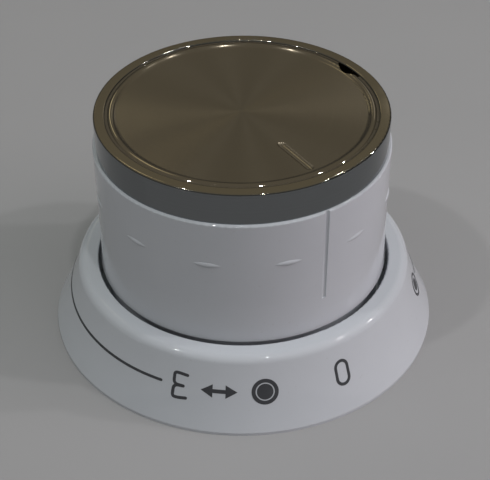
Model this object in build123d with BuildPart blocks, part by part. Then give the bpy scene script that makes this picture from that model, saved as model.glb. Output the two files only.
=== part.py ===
from build123d import *
import math
import os

# Hob knob: a grip with a metal cap turns in a conical scale ring.
# The origin is the centre of the ring's flat base. +Z runs up the spindle, and -Y faces the zero of the scale.

# Grip wall, from the foot in the well to the edge under the cap
foot_diameter = 37.1
flare_depth = 0.2
flare_height = 5.5
wall_draft = 0.1
wall_top = 26.7
grip_wall = 2.2
grip_lift = 0.8
foot_rebate = 0.8
foot_edge_round = 0.1
top_edge_round = 0.2

# Scale ring: a land round the well, then a hollowed skirt down to the flat rim
running_gap = 0.4
land_width = 2.4
skirt_run = 3.65
ring_height = 9.3
rim_height = 0.4
skirt_hollow = 0.25
shoulder_round = 1.2
well_edge_round = 0.2
skirt_wall = 1.6
well_wall = 1.4
floor_lift = 2.4
floor_thickness = 1.6
hollow_crest = 0.5
gusset_count = 12
gusset_thickness = 1.0
gusset_lift = 0.8

# Pointer groove and raised dashes on the grip
pointer_angle = -90.0
pointer_radius = 0.35
pointer_depth = 0.16
pointer_foot = 13.8
dash_count = 12
dash_length = 4.6
dash_radius = 0.45
dash_sink = 0.25
dash_height = 20.8

# Cap ring, face disc with a raised bead at its edge, and the pointer and lifting notch in the disc
cap_setback = 0.36
cap_wall = 0.8
seat_clearance = 0.05
spigot_height = 2.15
deck_thickness = 1.7
ledge_thickness = 0.6
ledge_width = 2.2
rim_width = 1.45
rim_round = 0.25
rim_recess = 0.05
disc_gap = 0.14
disc_thickness = 1.3
disc_dish = 0.2
disc_round = 0.5
bead_width = 0.75
bead_run = 0.3
bead_height = 0.25
bead_round = 0.35
bead_fillet = 0.6
press_start = 8.8
press_end = 14.5
press_radius = 0.8
press_depth = 0.22
notch_angle = 2.5
notch_length = 4.0
notch_depth = 1.0

# Spindle socket, for a 6 mm spindle with a 4.6 mm flat
spindle_diameter = 6.0
spindle_across_flat = 4.6
spindle_clearance = 0.05
socket_lift = 0.7
socket_depth = 17.0
socket_roof = 2.5
hex_across = 11.0
hex_bevel = 0.6
sleeve_wall = 1.4
web_count = 4
web_thickness = 1.4
web_lift = 3.0
journal_diameter = 14.0
bearing_clearance = 0.05
flange_reach = 2.5
flange_thickness = 1.4
axial_play = 0.1

# Glide washer, snap ring and shaft clip
washer_thickness = 0.5
washer_clearance = 0.3
snap_thickness = 0.9
snap_groove_depth = 0.7
snap_reach = 1.4
snap_gap = 3.0
snap_gap_angle = 90.0
lug_radius = 1.2
lug_hole_radius = 0.55
clip_width = 3.6
clip_thickness = 0.35
clip_bow = 0.8
clip_length = 12.0
clip_side_play = 0.1

# Radii and levels shared by pieces that fit each other
foot_radius = foot_diameter / 2
waist_radius = foot_radius - flare_depth
edge_radius = waist_radius + wall_draft
hollow_radius = waist_radius - grip_wall
well_radius = foot_radius + running_gap
well_outer = well_radius + well_wall
shoulder_radius = well_radius + land_width
base_radius = shoulder_radius + skirt_run
journal_radius = journal_diameter / 2
flange_radius = journal_radius + flange_reach
cap_radius = edge_radius - cap_setback
spigot_radius = cap_radius - cap_wall - seat_clearance
rim_inner = cap_radius - rim_width
disc_radius = rim_inner - disc_gap
snap_inner = journal_radius - snap_groove_depth
bore_radius = spindle_diameter / 2 + spindle_clearance
bore_flat = spindle_across_flat - spindle_diameter / 2 + spindle_clearance

floor_top = floor_lift + floor_thickness
flange_foot = floor_top + washer_thickness + axial_play
flange_top = flange_foot + flange_thickness
deck_top = wall_top + spigot_height
deck_foot = deck_top - deck_thickness
ledge_foot = deck_top + seat_clearance
disc_foot = ledge_foot + ledge_thickness
disc_top = disc_foot + disc_thickness
cap_top = disc_top + rim_recess
snap_top = floor_lift - axial_play
snap_foot = snap_top - snap_thickness
socket_top = socket_lift + socket_depth + socket_roof

os.makedirs("parts", exist_ok=True)


def corner(radius, height):
    """The corner of the section being drawn that lies nearest to a radius and a height."""
    return vertices().sort_by_distance((radius, height))[0]


# Gusset that ties the ring's skirt to its well, one for each place of the pattern
skirt_slope = skirt_run / ring_height
skirt_inner = base_radius - skirt_wall
hollow_top = (skirt_inner - well_outer - hollow_crest) / skirt_slope
gusset_inner = well_radius + well_wall / 2
gusset_outer = base_radius - skirt_wall / 2
gusset_crest = hollow_top + hollow_crest
with BuildPart() as gusset:
    with BuildSketch(Plane.XZ):
        with BuildLine():
            Polyline(
                (gusset_inner, floor_lift),
                (gusset_outer - skirt_slope * gusset_lift, gusset_lift),
                (gusset_outer - skirt_slope * gusset_crest, gusset_crest),
                (gusset_inner, gusset_crest),
                close=True,
            )
        make_face()
    extrude(amount=gusset_thickness / 2, both=True)

# Scale ring: skirt, land, well and floor in one moulding, hollow underneath
with BuildPart() as scale_ring:
    with BuildSketch(Plane.XZ):
        with BuildLine():
            skirt = SagittaArc((base_radius, rim_height), (shoulder_radius, ring_height), skirt_hollow)
            Polyline(
                skirt @ 1,
                (well_radius, ring_height),
                (well_radius, floor_top),
                (journal_radius + bearing_clearance, floor_top),
                (journal_radius + bearing_clearance, floor_lift),
                (well_outer, floor_lift),
                (well_outer, hollow_top),
                (well_outer + hollow_crest, hollow_top),
                (skirt_inner, 0),
                (base_radius, 0),
                skirt @ 0,
            )
        make_face()
        fillet(corner(shoulder_radius, ring_height), shoulder_round)
        fillet(corner(well_radius, ring_height), well_edge_round)
    revolve(axis=Axis.Z)
    with PolarLocations(0, gusset_count):
        add(gusset.part)
scale_ring.part.label = "scale_ring"
export_step(scale_ring.part, "parts/scale_ring.step")

# Glide washer on the ring's floor
with BuildPart() as glide_washer:
    with BuildSketch(Plane.XY.offset(floor_top)):
        Circle(flange_radius)
        Circle(journal_radius + washer_clearance, mode=Mode.SUBTRACT)
    extrude(amount=washer_thickness)
glide_washer.part.label = "glide_washer"
export_step(glide_washer.part, "parts/glide_washer.step")

# Raised dash, a slim spindle of which only the outer part stands out of the grip's wall
dash_seat = waist_radius - dash_sink
with BuildPart() as dash:
    with BuildSketch(Plane.XY.offset(dash_height)):
        with BuildLine():
            crest = SagittaArc((dash_seat, -dash_length / 2), (dash_seat, dash_length / 2), -dash_radius)
            Line(crest @ 1, crest @ 0)
        make_face()
    revolve(axis=Axis((dash_seat, 0, dash_height), (0, 1, 0)))

# Web that ties the grip's sleeve to its wall
sleeve_radius = hex_across / math.sqrt(3) + sleeve_wall
with BuildPart() as web:
    with BuildSketch(Plane.XY.offset(flange_top + web_lift)):
        with Locations(((sleeve_radius + hollow_radius) / 2, 0)):
            Rectangle(hollow_radius - sleeve_radius + sleeve_wall, web_thickness)
    extrude(amount=deck_foot + deck_thickness / 2 - flange_top - web_lift)

# Grip shell: flared wall, spigot for the cap, deck, and the sleeve that holds the socket
flare_top = ring_height + flare_height
with BuildPart() as grip_shell:
    with BuildSketch(Plane.XZ):
        with BuildLine():
            flare = TangentArc((waist_radius, flare_top), (foot_radius, ring_height), tangent=(0, -1))
            Polyline(
                flare @ 1,
                (foot_radius - foot_rebate, ring_height),
                (foot_radius - foot_rebate, floor_top + grip_lift),
                (hollow_radius, floor_top + grip_lift),
                (hollow_radius, deck_foot),
                (0, deck_foot),
                (0, deck_top),
                (spigot_radius, deck_top),
                (spigot_radius, wall_top),
                (edge_radius, wall_top),
                flare @ 0,
            )
        make_face()
        fillet(corner(edge_radius, wall_top), top_edge_round)
        fillet(corner(foot_radius, ring_height), foot_edge_round)
    revolve(axis=Axis.Z)
    with BuildSketch(Plane.XY.offset(flange_top)):
        Circle(sleeve_radius)
    extrude(amount=deck_foot - flange_top)
    with PolarLocations(0, web_count, start_angle=pointer_angle + 180 / web_count):
        add(web.part)
    with BuildSketch(Plane.XY.offset(flange_top)):
        RegularPolygon(hex_across / 2 + seat_clearance, 6, major_radius=False)
    extrude(amount=socket_top + seat_clearance - flange_top, mode=Mode.SUBTRACT)
    with BuildSketch(Plane.XY.offset(pointer_foot)):
        with PolarLocations(waist_radius - pointer_depth + pointer_radius, 1, start_angle=pointer_angle):
            Circle(pointer_radius)
    extrude(amount=deck_top - pointer_foot, mode=Mode.SUBTRACT)
    with PolarLocations(0, dash_count, start_angle=pointer_angle + 180 / dash_count):
        add(dash.part)
grip_shell.part.label = "grip_shell"
export_step(grip_shell.part, "parts/grip_shell.step")

# Cap ring: band, bead rim and an inner ledge that carries the disc
ledge_inner = disc_radius - ledge_width
with BuildPart() as cap_ring:
    with BuildSketch(Plane.XZ):
        with BuildLine():
            Polyline(
                (cap_radius - cap_wall, wall_top),
                (cap_radius, wall_top),
                (cap_radius, cap_top),
                (rim_inner, cap_top),
                (rim_inner, disc_foot),
                (ledge_inner, disc_foot),
                (ledge_inner, ledge_foot),
                (cap_radius - cap_wall, ledge_foot),
                close=True,
            )
        make_face()
        fillet(corner(cap_radius, cap_top), rim_round)
        fillet(corner(rim_inner, cap_top), rim_round)
    revolve(axis=Axis.Z)
cap_ring.part.label = "cap_ring"
export_step(cap_ring.part, "parts/cap_ring.step")

# Presser for the disc's pointer, a round-nosed bar laid along the dished face
dish_radius = disc_radius - bead_width - bead_run
dish_top = disc_top - bead_height
bowl_radius = (dish_radius**2 + disc_dish**2) / (2 * disc_dish)
press_lift = dish_top - disc_dish + bowl_radius + press_radius - press_depth
press_heel = Vector(press_start, 0, press_lift - math.sqrt(bowl_radius**2 - press_start**2))
press_toe = Vector(press_end, 0, press_lift - math.sqrt(bowl_radius**2 - press_end**2))
press_run = press_toe - press_heel
with BuildPart() as presser:
    with BuildSketch(Plane((press_heel + press_toe) / 2, x_dir=press_run, z_dir=(0, -1, 0))):
        SlotCenterToCenter(press_run.length, 2 * press_radius)
        Rectangle(
            press_run.length + 2 * press_radius,
            press_radius,
            align=(Align.CENTER, Align.MIN),
            mode=Mode.SUBTRACT,
        )
    revolve(axis=Axis(press_heel, press_run))

# Face disc, slightly dished inside its bead, with a scallop in the edge to lift it by
notch_half = notch_length / 2
notch_bow = notch_depth - disc_radius + math.sqrt(disc_radius**2 - notch_half**2)
notch_radius = (notch_half**2 + notch_bow**2) / (2 * notch_bow)
with BuildPart() as face_disc:
    with BuildSketch(Plane.XZ):
        with BuildLine():
            dish = TangentArc((0, dish_top - disc_dish), (dish_radius, dish_top), tangent=(1, 0))
            Polyline(
                dish @ 1,
                (disc_radius - bead_width, disc_top),
                (disc_radius, disc_top),
                (disc_radius, disc_foot),
                (0, disc_foot),
                dish @ 0,
            )
        make_face()
        fillet(corner(disc_radius, disc_top), disc_round)
        fillet(corner(disc_radius - bead_width, disc_top), bead_round)
        fillet(corner(dish_radius, dish_top), bead_fillet)
    revolve(axis=Axis.Z)
    with PolarLocations(0, 1, start_angle=pointer_angle):
        add(presser.part, mode=Mode.SUBTRACT)
    with BuildSketch(Plane.XY.offset(disc_foot)):
        with PolarLocations(disc_radius - notch_depth + notch_radius, 1, start_angle=notch_angle):
            Circle(notch_radius)
    extrude(amount=disc_thickness, mode=Mode.SUBTRACT)
face_disc.part.label = "face_disc"
export_step(face_disc.part, "parts/face_disc.step")

# Spindle socket: journal with its snap ring groove, flange, hexagonal body and D-bore with a clip pocket
pocket_back = bore_flat + clip_bow + clip_thickness
with BuildPart() as spindle_socket:
    with BuildSketch(Plane.XZ):
        with BuildLine():
            Polyline(
                (0, socket_lift),
                (journal_radius, socket_lift),
                (journal_radius, snap_foot - seat_clearance),
                (snap_inner, snap_foot - seat_clearance),
                (snap_inner, snap_top + seat_clearance),
                (journal_radius, snap_top + seat_clearance),
                (journal_radius, flange_foot),
                (flange_radius, flange_foot),
                (flange_radius, flange_top),
                (0, flange_top),
                close=True,
            )
        make_face()
    revolve(axis=Axis.Z)
    with BuildSketch(Plane.XY.offset(flange_top)):
        RegularPolygon(hex_across / 2, 6, major_radius=False)
    extrude(amount=socket_top - flange_top)
    chamfer(faces().sort_by(Axis.Z)[-1].edges(), hex_bevel)
    with BuildSketch(Plane.XY.offset(socket_lift)):
        Circle(bore_radius)
        with Locations((0, bore_flat)):
            Rectangle(2 * bore_radius, bore_radius, align=(Align.CENTER, Align.MIN), mode=Mode.SUBTRACT)
    extrude(amount=socket_depth, mode=Mode.SUBTRACT)
    with BuildSketch(Plane.XY.offset(socket_lift)):
        Rectangle(clip_width + 2 * clip_side_play, pocket_back, align=(Align.CENTER, Align.MIN))
    extrude(amount=clip_length + seat_clearance, mode=Mode.SUBTRACT)
spindle_socket.part.label = "spindle_socket"
export_step(spindle_socket.part, "parts/spindle_socket.step")

# Shaft clip: a leaf that lies against the pocket's back at both ends and bows out to the spindle's flat
with BuildPart() as shaft_clip:
    with BuildSketch(Plane.YZ):
        with BuildLine():
            back = SagittaArc((pocket_back, socket_lift), (pocket_back, socket_lift + clip_length), clip_bow)
            front = SagittaArc(
                (pocket_back - clip_thickness, socket_lift),
                (pocket_back - clip_thickness, socket_lift + clip_length),
                clip_bow,
            )
            Line(back @ 0, front @ 0)
            Line(back @ 1, front @ 1)
        make_face()
    extrude(amount=clip_width / 2, both=True)
shaft_clip.part.label = "shaft_clip"
export_step(shaft_clip.part, "parts/shaft_clip.step")

# Retaining ring: an external snap ring with two lugs beside its gap
snap_outer = journal_radius + snap_reach
lug_spread = 2 * math.degrees(math.asin((snap_gap / 2 + lug_radius) / snap_outer))
lug_places = PolarLocations(snap_outer, 2, snap_gap_angle - lug_spread / 2, 2 * lug_spread)
with BuildPart() as retaining_ring:
    with BuildSketch(Plane.XY.offset(snap_foot)):
        Circle(snap_outer)
        with Locations(lug_places.locations):
            Circle(lug_radius)
        Circle(snap_inner + seat_clearance, mode=Mode.SUBTRACT)
        with Locations(lug_places.locations):
            Circle(lug_hole_radius, mode=Mode.SUBTRACT)
        with PolarLocations(snap_outer, 1, snap_gap_angle):
            Rectangle(2 * snap_outer, snap_gap, mode=Mode.SUBTRACT)
    extrude(amount=snap_thickness)
retaining_ring.part.label = "retaining_ring"
export_step(retaining_ring.part, "parts/retaining_ring.step")
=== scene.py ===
import math

import bmesh
import bpy
from mathutils import Matrix, Vector


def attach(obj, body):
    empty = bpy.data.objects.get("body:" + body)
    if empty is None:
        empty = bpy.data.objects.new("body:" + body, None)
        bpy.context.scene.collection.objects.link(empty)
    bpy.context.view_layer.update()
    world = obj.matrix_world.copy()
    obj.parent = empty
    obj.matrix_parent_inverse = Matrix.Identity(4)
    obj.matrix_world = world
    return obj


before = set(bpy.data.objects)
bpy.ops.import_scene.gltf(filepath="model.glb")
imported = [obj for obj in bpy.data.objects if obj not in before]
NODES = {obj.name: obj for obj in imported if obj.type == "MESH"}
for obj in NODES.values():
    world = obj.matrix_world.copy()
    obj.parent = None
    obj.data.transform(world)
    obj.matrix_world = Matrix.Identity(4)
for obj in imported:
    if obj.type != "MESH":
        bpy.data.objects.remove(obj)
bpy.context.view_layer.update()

MM = 0.001

# Where the photograph was taken from, as an azimuth from the zero of the scale, with distances in mm
VIEW_AZIMUTH = -31.65
CAMERA_REACH = 134.7
CAMERA_HEIGHT = 115.0
CAMERA_PITCH = 37.8
CAMERA_YAW = 0.11
CAMERA_ROLL = -0.36
LENS = 95.66
SENSOR = 36.0

# Skirt of the scale ring, in mm
BASE_R, RIM_Z = 25.0, 0.4
SHOULDER_R, RING_Z = 21.35, 9.3
SKIRT_HOLLOW = 0.25

# Crest of the raised bead at the face disc's edge: where its polish begins and is full, in mm from the axis
BEAD_START, BEAD_END = 15.7, 15.9

# Lacquer in the groove round the disc: its section as radius and height, and how far it is open either side of
# the lifting notch, in mm and degrees
SEAL_SECTION = ((16.345, 30.652), (16.42, 30.63), (16.5, 30.622), (16.58, 30.63), (16.66, 30.652), (16.65, 30.45),
                (16.47, 30.45))
SEAL_STEPS = 180
NOTCH_AZIMUTH, NOTCH_OPEN = 92.5, 7.4

# Print on the skirt: height of its middle line, ink thickness and how far the ink goes into the skirt, in mm
PRINT_Z = 5.2
INK_PROUD = 0.02
INK_SUNK = 0.03
STROKE = 0.4
STEP = 0.12


def polar(radius, azimuth, height):
    """A point in metres from a radius and height in mm and an azimuth in degrees from -Y towards +X."""
    a = math.radians(azimuth)
    return Vector((radius * math.sin(a), -radius * math.cos(a), height)) * MM


def toward(azimuth, elevation):
    """A unit vector at an azimuth counted from the photograph's view and an elevation, in degrees."""
    a, e = math.radians(azimuth + VIEW_AZIMUTH), math.radians(elevation)
    return Vector((math.sin(a) * math.cos(e), -math.cos(a) * math.cos(e), math.sin(e)))


# Camera
def add_camera():
    pitch, yaw, roll = (math.radians(v) for v in (CAMERA_PITCH, CAMERA_YAW, CAMERA_ROLL))
    ahead = Vector((math.sin(yaw) * math.cos(pitch), math.cos(yaw) * math.cos(pitch), -math.sin(pitch)))
    level = ahead.cross(Vector((0, 0, 1))).normalized()
    upright = level.cross(ahead)
    right = level * math.cos(roll) + upright * math.sin(roll)
    up = upright * math.cos(roll) - level * math.sin(roll)
    turn = Matrix.Rotation(math.radians(VIEW_AZIMUTH), 3, "Z")
    data = bpy.data.cameras.new("photo_camera")
    data.lens = LENS
    data.sensor_width = SENSOR
    data.sensor_fit = "HORIZONTAL"
    data.clip_start = 0.01
    data.clip_end = 20
    camera = bpy.data.objects.new("photo_camera", data)
    bpy.context.scene.collection.objects.link(camera)
    axes = Matrix((turn @ right, turn @ up, turn @ -ahead)).transposed()
    camera.matrix_world = Matrix.Translation(polar(CAMERA_REACH, VIEW_AZIMUTH, CAMERA_HEIGHT)) @ axes.to_4x4()
    bpy.context.scene.camera = camera


# Node helpers
def new_material(name):
    material = bpy.data.materials.new(name)
    material.use_nodes = True
    tree = material.node_tree
    shader = tree.nodes["Principled BSDF"]
    return material, tree, shader


def add(tree, kind, **settings):
    node = tree.nodes.new(kind)
    for key, value in settings.items():
        setattr(node, key, value)
    return node


def link(tree, source, target):
    tree.links.new(source, target)


def place(tree):
    """Object coordinates in metres."""
    return add(tree, "ShaderNodeTexCoord").outputs["Object"]


def noise(tree, coords, size_mm, detail=3.0, rough=0.55):
    node = add(tree, "ShaderNodeTexNoise")
    node.inputs["Scale"].default_value = 1.0 / (size_mm * MM)
    node.inputs["Detail"].default_value = detail
    node.inputs["Roughness"].default_value = rough
    link(tree, coords, node.inputs["Vector"])
    return node.outputs["Fac"]


def remap(tree, value, low, high, to_low, to_high):
    node = add(tree, "ShaderNodeMapRange")
    for key, number in zip(("From Min", "From Max", "To Min", "To Max"), (low, high, to_low, to_high)):
        node.inputs[key].default_value = number
    link(tree, value, node.inputs["Value"])
    return node.outputs["Result"]


def math_node(tree, operation, first, second=None):
    node = add(tree, "ShaderNodeMath", operation=operation)
    for socket, value in zip(node.inputs, (first, second)):
        if value is None:
            continue
        if isinstance(value, (int, float)):
            socket.default_value = value
        else:
            link(tree, value, socket)
    return node.outputs[0]


def mix_colour(tree, amount, first, second):
    node = add(tree, "ShaderNodeMix", data_type="RGBA")
    sockets = [s for s in node.inputs if s.type == "RGBA"]
    factor = node.inputs[0]
    if isinstance(amount, (int, float)):
        factor.default_value = amount
    else:
        link(tree, amount, factor)
    for socket, value in zip(sockets, (first, second)):
        if isinstance(value, tuple):
            socket.default_value = (*value, 1)
        else:
            link(tree, value, socket)
    return [s for s in node.outputs if s.type == "RGBA"][0]


def bump(tree, shader, height, depth_mm, strength=1.0):
    node = add(tree, "ShaderNodeBump")
    node.inputs["Strength"].default_value = strength
    node.inputs["Distance"].default_value = depth_mm * MM
    link(tree, height, node.inputs["Height"])
    link(tree, node.outputs["Normal"], shader.inputs["Normal"])


# Materials
def white_moulding():
    """Gloss white moulding: faint mottling, fine scuffs and a slight ripple of the moulded skin."""
    material, tree, shader = new_material("white_moulding")
    coords = place(tree)
    mottled = mix_colour(tree, noise(tree, coords, 9.0), (0.570, 0.592, 0.635), (0.615, 0.637, 0.680))
    specks = remap(tree, noise(tree, coords, 0.55, 2.0), 0.68, 0.76, 0.0, 0.18)
    dusty = mix_colour(tree, specks, mottled, (0.42, 0.41, 0.40))
    link(tree, dusty, shader.inputs["Base Color"])
    link(tree, remap(tree, noise(tree, coords, 3.0, 4.0), 0.3, 0.7, 0.05, 0.09), shader.inputs["Roughness"])
    bump(tree, shader, noise(tree, coords, 2.2, 1.0), 0.01, 0.15)
    return material


def spun_metal():
    """Metal turned on a lathe: grain round the axis, so the gloss is drawn out along the radius."""
    material, tree, shader = new_material("spun_metal")
    coords = place(tree)
    split = add(tree, "ShaderNodeSeparateXYZ")
    link(tree, coords, split.inputs[0])
    x, y = split.outputs["X"], split.outputs["Y"]
    radius = math_node(tree, "SQRT", math_node(tree, "ADD", math_node(tree, "MULTIPLY", x, x),
                                               math_node(tree, "MULTIPLY", y, y)))
    grain = add(tree, "ShaderNodeTexNoise", noise_dimensions="1D")
    grain.inputs["Scale"].default_value = 1.0 / (0.16 * MM)
    grain.inputs["Detail"].default_value = 4.0
    link(tree, radius, grain.inputs["W"])
    tone = mix_colour(tree, grain.outputs["Fac"], (0.374, 0.326, 0.247), (0.458, 0.399, 0.302))
    link(tree, tone, shader.inputs["Base Color"])
    shader.inputs["Metallic"].default_value = 1.0
    spun = remap(tree, noise(tree, coords, 4.0), 0.3, 0.7, 0.20, 0.24)
    polished = remap(tree, radius, BEAD_START * MM, BEAD_END * MM, 1.0, 0.25)
    link(tree, math_node(tree, "MULTIPLY", spun, polished), shader.inputs["Roughness"])
    shader.inputs["Anisotropic"].default_value = 0.9
    shader.inputs["Anisotropic Rotation"].default_value = 0.25
    tangent = add(tree, "ShaderNodeTangent", direction_type="RADIAL", axis="Z")
    link(tree, tangent.outputs["Tangent"], shader.inputs["Tangent"])
    bump(tree, shader, grain.outputs["Fac"], 0.006, 0.3)
    return material


def cap_metal():
    """Polished dark metal of the cap's band and rim, with hairlines round it. Painted reflection: the base colour goes
    from a cool dark grey on the band's sides to a lighter warm olive on faces that look upwards, standing in for the
    floor and the ceiling mirrored in them.
    """
    material, tree, shader = new_material("cap_metal")
    coords = place(tree)
    split = add(tree, "ShaderNodeSeparateXYZ")
    link(tree, coords, split.inputs[0])
    hair = add(tree, "ShaderNodeTexNoise", noise_dimensions="1D")
    hair.inputs["Scale"].default_value = 1.0 / (0.25 * MM)
    hair.inputs["Detail"].default_value = 3.0
    link(tree, split.outputs["Z"], hair.inputs["W"])
    band = mix_colour(tree, hair.outputs["Fac"], (0.187, 0.197, 0.201), (0.222, 0.232, 0.236))
    # Painted reflection: faces that look upwards are painted a lighter warm olive and the band's sides keep the cool
    # dark grey, as a mirrored ceiling and floor would show
    facing = add(tree, "ShaderNodeSeparateXYZ")
    link(tree, add(tree, "ShaderNodeNewGeometry").outputs["Normal"], facing.inputs[0])
    upward_painted_reflection = remap(tree, facing.outputs["Z"], 0.55, 0.95, 0.0, 1.0)
    link(tree, mix_colour(tree, upward_painted_reflection, band, (0.46, 0.40, 0.29)), shader.inputs["Base Color"])
    shader.inputs["Metallic"].default_value = 1.0
    link(tree, remap(tree, noise(tree, coords, 2.5, 4.0), 0.3, 0.7, 0.05, 0.1), shader.inputs["Roughness"])
    bump(tree, shader, noise(tree, coords, 1.2, 2.0), 0.004, 0.2)
    return material


def black_polymer():
    material, tree, shader = new_material("black_polymer")
    coords = place(tree)
    tone = mix_colour(tree, noise(tree, coords, 1.5), (0.018, 0.018, 0.019), (0.036, 0.036, 0.038))
    link(tree, tone, shader.inputs["Base Color"])
    link(tree, remap(tree, noise(tree, coords, 0.8, 4.0), 0.3, 0.7, 0.42, 0.6), shader.inputs["Roughness"])
    bump(tree, shader, noise(tree, coords, 0.35, 2.0), 0.02, 0.3)
    return material


def washer_polymer():
    material, tree, shader = new_material("washer_polymer")
    coords = place(tree)
    tone = mix_colour(tree, noise(tree, coords, 2.0), (0.05, 0.05, 0.054), (0.075, 0.075, 0.08))
    link(tree, tone, shader.inputs["Base Color"])
    link(tree, remap(tree, noise(tree, coords, 1.0), 0.3, 0.7, 0.5, 0.65), shader.inputs["Roughness"])
    bump(tree, shader, noise(tree, coords, 0.5, 2.0), 0.01, 0.3)
    return material


def spring_steel():
    material, tree, shader = new_material("spring_steel")
    coords = place(tree)
    tone = mix_colour(tree, noise(tree, coords, 0.9, 4.0), (0.40, 0.40, 0.42), (0.54, 0.54, 0.555))
    link(tree, tone, shader.inputs["Base Color"])
    shader.inputs["Metallic"].default_value = 1.0
    link(tree, remap(tree, noise(tree, coords, 0.4, 4.0), 0.3, 0.7, 0.24, 0.42), shader.inputs["Roughness"])
    bump(tree, shader, noise(tree, coords, 0.25, 3.0), 0.006, 0.3)
    return material


def ink():
    """Printing ink, slightly worn so that its grey varies."""
    material, tree, shader = new_material("scale_ink")
    coords = place(tree)
    tone = mix_colour(tree, noise(tree, coords, 0.9, 4.0), (0.038, 0.040, 0.046), (0.072, 0.074, 0.082))
    link(tree, tone, shader.inputs["Base Color"])
    link(tree, remap(tree, noise(tree, coords, 0.5), 0.3, 0.7, 0.35, 0.5), shader.inputs["Roughness"])
    bump(tree, shader, noise(tree, coords, 0.3, 2.0), 0.004, 0.25)
    return material


def lacquer():
    """Brown lacquer, a little uneven where it has settled."""
    material, tree, shader = new_material("seal_lacquer")
    coords = place(tree)
    tone = mix_colour(tree, noise(tree, coords, 1.5), (0.058, 0.046, 0.030), (0.080, 0.064, 0.043))
    link(tree, tone, shader.inputs["Base Color"])
    link(tree, remap(tree, noise(tree, coords, 0.8), 0.3, 0.7, 0.25, 0.4), shader.inputs["Roughness"])
    bump(tree, shader, noise(tree, coords, 0.6, 2.0), 0.01, 0.3)
    return material


def add_seal():
    """The thread of lacquer as a closed solid that runs round the disc from one side of the notch to the other."""
    shape = bmesh.new()
    rows = []
    for i in range(SEAL_STEPS + 1):
        azimuth = NOTCH_AZIMUTH + NOTCH_OPEN + (360 - 2 * NOTCH_OPEN) * i / SEAL_STEPS
        rows.append([shape.verts.new(polar(r, azimuth, z)) for r, z in SEAL_SECTION])
    for a, b in zip(rows, rows[1:]):
        for j in range(len(SEAL_SECTION)):
            shape.faces.new((a[j - 1], a[j], b[j], b[j - 1]))
    shape.faces.new(rows[0])
    shape.faces.new(list(reversed(rows[-1])))
    bmesh.ops.recalc_face_normals(shape, faces=shape.faces)
    mesh = bpy.data.meshes.new("disc_seal")
    shape.to_mesh(mesh)
    shape.free()
    mesh.materials.append(lacquer())
    seal = bpy.data.objects.new("disc_seal", mesh)
    bpy.context.scene.collection.objects.link(seal)
    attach(seal, "grip")


# Printed marks: flat outlines in mm, across (towards +azimuth) and up the skirt from its middle line
def skirt_point(across, up, azimuth, proud):
    """The point on the skirt, and proud of it, for a place in a mark that is centred at an azimuth."""
    chord = Vector((SHOULDER_R - BASE_R, RING_Z - RIM_Z))
    length = chord.length
    along = chord / length
    inward = Vector((-along.y, along.x))
    middle = (PRINT_Z - RIM_Z) / chord.y * length
    s = middle + up
    bow = 4 * SKIRT_HOLLOW * (s / length) * (1 - s / length)
    slope = 4 * SKIRT_HOLLOW * (1 - 2 * s / length) / length
    outward = (-inward + along * slope).normalized()
    point = Vector((BASE_R, RIM_Z)) + along * s + inward * bow + outward * proud
    reference = BASE_R + along.x * middle
    return polar(point.x, azimuth + math.degrees(across / reference), point.y)


def ribbon(points, width, closed=False):
    """Vertices and quads of a stroke of even width along a line of points, with round ends where it is open."""
    count = len(points)
    sides = []
    for i, p in enumerate(points):
        before = points[i - 1] if closed or i else p
        after = points[(i + 1) % count] if closed or i < count - 1 else p
        way = (Vector(after) - Vector(before)).normalized()
        sides.append((Vector(p), way, Vector((-way.y, way.x))))
    verts, faces = [], []
    for p, way, side in sides:
        for k in (-0.5, 0.0, 0.5):
            verts.append(p + side * width * k)
    rows = count if closed else count - 1
    for i in range(rows):
        a, b = 3 * i, 3 * ((i + 1) % count)
        for k in (0, 1):
            faces.append((a + k, b + k, b + k + 1, a + k + 1))
    if not closed:
        for (p, way, side), sign, row in ((sides[0], -1, 0), (sides[-1], 1, 3 * (count - 1))):
            cap = []
            for j in range(1, 6):
                t = math.pi * j / 6
                cap.append(len(verts))
                verts.append(p + side * (width / 2) * -math.cos(t) + way * sign * (width / 2) * math.sin(t))
            rim = [row, *cap, row + 2]
            for a, b in zip(rim, rim[1:]):
                faces.append((row + 1, b, a) if sign < 0 else (row + 1, a, b))
    return verts, faces


def round_line(points, radius):
    """Points along a line of straight runs whose corners are rounded, spaced by about STEP."""
    dense = [Vector(points[0])]
    for before, corner, after in zip(points, points[1:], points[2:]):
        p, c, q = Vector(before), Vector(corner), Vector(after)
        u, v = (p - c).normalized(), (q - c).normalized()
        cut = min(radius, 0.5 * (p - c).length, 0.5 * (q - c).length)
        for j in range(9):
            t = j / 8
            dense.append((c + u * cut) * (1 - t) ** 2 + c * 2 * t * (1 - t) + (c + v * cut) * t ** 2)
    dense.append(Vector(points[-1]))
    return spaced(dense)


def spaced(points):
    """The same line with points about STEP apart."""
    out = [Vector(points[0])]
    for a, b in zip(points, points[1:]):
        a, b = Vector(a), Vector(b)
        runs = max(1, round((b - a).length / STEP))
        out += [a.lerp(b, (j + 1) / runs) for j in range(runs) if (b - a).length > 1e-6]
    return out


def arc(cx, cy, rx, ry, start, end, count=28):
    return [Vector((cx + rx * math.cos(math.radians(start + (end - start) * i / (count - 1))),
                    cy + ry * math.sin(math.radians(start + (end - start) * i / (count - 1)))))
            for i in range(count)]


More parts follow.
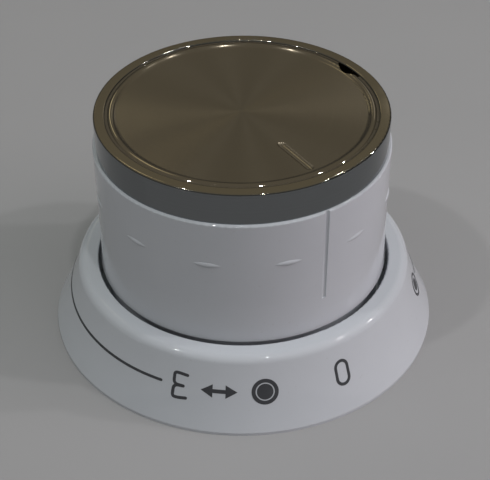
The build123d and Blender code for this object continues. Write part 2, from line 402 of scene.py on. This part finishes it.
def disc(radius, inner=0.0):
    """Vertices and faces of a disc, or of a ring where it has an inner radius."""
    turns, rows = 48, 4
    verts, faces = [], []
    for i in range(rows + 1):
        r = inner + (radius - inner) * i / rows
        if r == 0:
            verts.append(Vector((0, 0)))
            continue
        for j in range(turns):
            t = math.tau * j / turns
            verts.append(Vector((r * math.cos(t), r * math.sin(t))))
    offset = 1 if inner == 0 else 0
    first = 1 if inner == 0 else 0
    if inner == 0:
        for j in range(turns):
            faces.append((0, 1 + j, 1 + (j + 1) % turns))
    for i in range(first, rows):
        a, b = offset + (i - first) * turns, offset + (i - first + 1) * turns
        for j in range(turns):
            k = (j + 1) % turns
            faces.append((a + j, b + j, b + k, a + k))
    return verts, faces


def wedge(tip, back, half):
    """Arrow head with its tip at one place along the line and its back at another."""
    rows = 8
    verts, faces = [], []
    for i in range(rows + 1):
        x = tip + (back - tip) * i / rows
        h = half * i / rows
        for k in (-1, 0, 1):
            verts.append(Vector((x, h * k)))
    for i in range(rows):
        a, b = 3 * i, 3 * (i + 1)
        for k in (0, 1):
            quad = (a + k, b + k, b + k + 1, a + k + 1)
            faces.append(quad if back > tip else tuple(reversed(quad)))
    return verts, faces


def print_mark(name, patches, azimuth, material):
    """One printed mark: its flat patches laid on the skirt as thin closed films of ink."""
    shape = bmesh.new()
    for verts, faces in patches:
        top = [shape.verts.new(skirt_point(v.x, v.y, azimuth, INK_PROUD)) for v in verts]
        bottom = [shape.verts.new(skirt_point(v.x, v.y, azimuth, -INK_SUNK)) for v in verts]
        edges = {}
        for face in faces:
            corners = list(dict.fromkeys(face))
            shape.faces.new([top[i] for i in corners])
            shape.faces.new([bottom[i] for i in reversed(corners)])
            for a, b in zip(corners, corners[1:] + corners[:1]):
                edges[(a, b)] = edges.get((a, b), 0) + 1
        for a, b in edges:
            if (b, a) not in edges:
                shape.faces.new((top[b], top[a], bottom[a], bottom[b]))
    bmesh.ops.remove_doubles(shape, verts=shape.verts, dist=1e-7)
    bmesh.ops.dissolve_degenerate(shape, edges=shape.edges, dist=1e-8)
    bmesh.ops.recalc_face_normals(shape, faces=shape.faces)
    mesh = bpy.data.meshes.new(name)
    shape.to_mesh(mesh)
    shape.free()
    mesh.materials.append(material)
    mark = bpy.data.objects.new(name, mesh)
    bpy.context.scene.collection.objects.link(mark)
    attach(mark, "bezel")
    return mark


# Digits stand with their tops outwards, so up the digit is down the skirt, and across is turned with it
def upright(points):
    return [Vector((-p.x, -p.y)) for p in points]


def digit_zero():
    w, h, r = 2.1 / 2 - STROKE / 2, 3.5 / 2 - STROKE / 2, 0.85
    line = []
    for cx, cy, start in ((w - r, h - r, 0), (r - w, h - r, 90), (r - w, r - h, 180), (w - r, r - h, 270)):
        line += arc(cx, cy, r, r, start, start + 90, 9)
    line.append(line[0])
    return [ribbon(upright(spaced(line))[:-1], STROKE, closed=True)]


def digit_three():
    w, h = 2.1 / 2 - STROKE / 2, 3.6 / 2 - STROKE / 2
    top = round_line([Vector((-w, h - 0.12)), Vector((0.1, h)), Vector((w, h)), Vector((w, 0.05)), Vector((-0.4, 0.0))], 0.8)
    low = round_line([Vector((-0.4, 0.0)), Vector((w, -0.05)), Vector((w, -h)), Vector((0.1, -h)), Vector((-w, 0.12 - h))], 0.8)
    return [ribbon(upright(top), STROKE), ribbon(upright(low), STROKE)]


def digit_two():
    w, h = 2.1 / 2 - STROKE / 2, 3.6 / 2 - STROKE / 2
    line = round_line([Vector((-w, h)), Vector((w, h)), Vector((w, 0.35)), Vector((-w, -h + 0.35)), Vector((-w, -h)),
                       Vector((w, -h))], 0.6)
    return [ribbon(upright(line), STROKE)]


def digit_one():
    h = 3.6 / 2 - STROKE / 2
    line = round_line([Vector((-0.55, h - 0.6)), Vector((0.25, h)), Vector((0.25, -h))], 0.12)
    return [ribbon(upright(line), STROKE)]


def add_print():
    black = ink()
    reference = BASE_R + (SHOULDER_R - BASE_R) * (PRINT_Z - RIM_Z) / (RING_Z - RIM_Z)

    def sweep(start, end):
        """A line along the skirt between two azimuths, as places across a mark centred at the first."""
        count = round(abs(end - start) / 0.75)
        return [Vector((math.radians((end - start) * i / count) * reference, 0)) for i in range(count + 1)]

    print_mark("mark_zero", digit_zero(), 0, black)
    print_mark("mark_two_ring_zone", [disc(1.02), disc(1.66, 1.17)], -25.3, black)
    arrow = 4.5 / 2
    head = 1.45
    print_mark("mark_arrow", [
        ribbon(spaced([Vector((head - arrow - 0.1, 0)), Vector((arrow - head + 0.1, 0))]), 0.5),
        wedge(-arrow, head - arrow, 0.86),
        wedge(arrow, arrow - head, 0.86),
    ], -39.25, black)
    print_mark("mark_three", digit_three(), -51.4, black)
    print_mark("mark_low_ring", [disc(0.85), disc(1.6, 1.25)], 51.4, black)
    print_mark("mark_one", digit_one(), 137.1, black)
    print_mark("mark_two", digit_two(), -137.1, black)
    for name, start, end in (("scale_line_high", -57.75, -130.8), ("scale_line_middle", -143.4, -216.6),
                             ("scale_line_low", -229.2, -302.25)):
        print_mark(name, [ribbon(sweep(start, end), 0.36)], start, black)


# Light, world and floor. Each lamp: azimuth from the photograph's view and elevation in degrees, distance,
# width and height in m, power in W, and colour. The soft ones light the surfaces but aren't mirrored in them.
SOFT_LIGHTS = (
    ("softbox_zenith", 0, 86, 1.0, 0.9, 0.9, 2.0, (0.84, 1.0, 0.99)),
    ("softbox_right", 68, 42, 0.75, 0.78, 0.5, 1.25, (0.97, 0.92, 1.0)),
    ("card_left", -80, 58, 0.75, 0.3, 0.3, 0.26, (0.9, 0.97, 1.0)),
    ("card_rose", 78, 10, 0.7, 0.25, 0.2, 0.6, (1.0, 0.77, 0.8)),
)
REAR_LIGHTS = (
    ("panel_right", 165.6, 28.1, 0.8, 0.13, 0.13, 0.015, (1.0, 0.97, 0.9)),
    ("panel_left", -157.6, 48.0, 0.8, 0.13, 0.13, 0.036, (1.0, 0.9, 0.6)),
    ("strip_left", -163.7, 31.1, 0.8, 0.06, 0.16, 0.022, (1.0, 0.93, 0.65)),
)
SMALL_LAMPS = (
    ("lamp_front", 24.9, 66.9),
    ("lamp_left", -61.8, 59.4),
    ("lamp_right", 81.0, 50.1),
    ("lamp_low_right", 93.0, 33.3),
)


def add_lamp(name, azimuth, elevation, distance, width, height, power, colour=(1, 1, 1), shape="RECTANGLE"):
    data = bpy.data.lights.new(name, "AREA")
    data.shape = shape
    data.size = width
    data.size_y = height
    data.energy = power
    data.color = colour
    lamp = bpy.data.objects.new(name, data)
    bpy.context.scene.collection.objects.link(lamp)
    target = Vector((0, 0, 0.018))
    away = toward(azimuth, elevation)
    lamp.location = target + away * distance
    lamp.rotation_mode = "QUATERNION"
    lamp.rotation_quaternion = away.to_track_quat("Z", "Y")
    return lamp


def add_light():
    for name, *place_and_power in SOFT_LIGHTS:
        add_lamp(name, *place_and_power).visible_glossy = False
    for name, *place_and_power in REAR_LIGHTS:
        add_lamp(name, *place_and_power)
    for name, azimuth, elevation in SMALL_LAMPS:
        add_lamp(name, azimuth, elevation, 0.8, 0.03, 0.03, 0.6, shape="DISK")
    world = bpy.data.worlds.new("studio")
    bpy.context.scene.world = world
    world.use_nodes = True
    tree = world.node_tree
    background = tree.nodes["Background"]
    split = add(tree, "ShaderNodeSeparateXYZ")
    link(tree, add(tree, "ShaderNodeTexCoord").outputs["Generated"], split.inputs[0])
    ramp = add(tree, "ShaderNodeValToRGB")
    link(tree, split.outputs["Z"], ramp.inputs["Fac"])
    stops = ((0.0, (0.05, 0.05, 0.05)), (0.25, (0.06, 0.059, 0.055)), (0.55, (0.164, 0.155, 0.131)),
             (1.0, (0.164, 0.158, 0.142)))
    elements = ramp.color_ramp.elements
    while len(elements) < len(stops):
        elements.new(0.5)
    for element, (where, colour) in zip(elements, stops):
        element.position = where
        element.color = (*colour, 1)
    link(tree, ramp.outputs["Color"], background.inputs["Color"])


def add_floor():
    shape = bmesh.new()
    bmesh.ops.create_circle(shape, cap_ends=True, cap_tris=False, segments=96, radius=3.0)
    mesh = bpy.data.meshes.new("floor")
    shape.to_mesh(mesh)
    shape.free()
    floor = bpy.data.objects.new("floor", mesh)
    bpy.context.scene.collection.objects.link(floor)
    material, tree, shader = new_material("floor")
    coords = place(tree)
    tone = mix_colour(tree, noise(tree, coords, 30.0), (0.358, 0.350, 0.356), (0.378, 0.370, 0.376))
    link(tree, tone, shader.inputs["Base Color"])
    shader.inputs["Roughness"].default_value = 0.75
    mesh.materials.append(material)


def dress(node, material):
    slots = NODES[node].material_slots
    if not slots:
        NODES[node].data.materials.append(material)
    for slot in slots:
        slot.material = material


add_camera()
moulding = white_moulding()
steel = spring_steel()
for node, material in (("scale_ring", moulding), ("grip_shell", moulding), ("cap_ring", cap_metal()),
                       ("face_disc", spun_metal()), ("spindle_socket", black_polymer()),
                       ("glide_washer", washer_polymer()), ("shaft_clip", steel), ("retaining_ring", steel)):
    dress(node, material)
add_seal()
add_print()
add_floor()
add_light()
bpy.context.scene.view_settings.view_transform = "Standard"
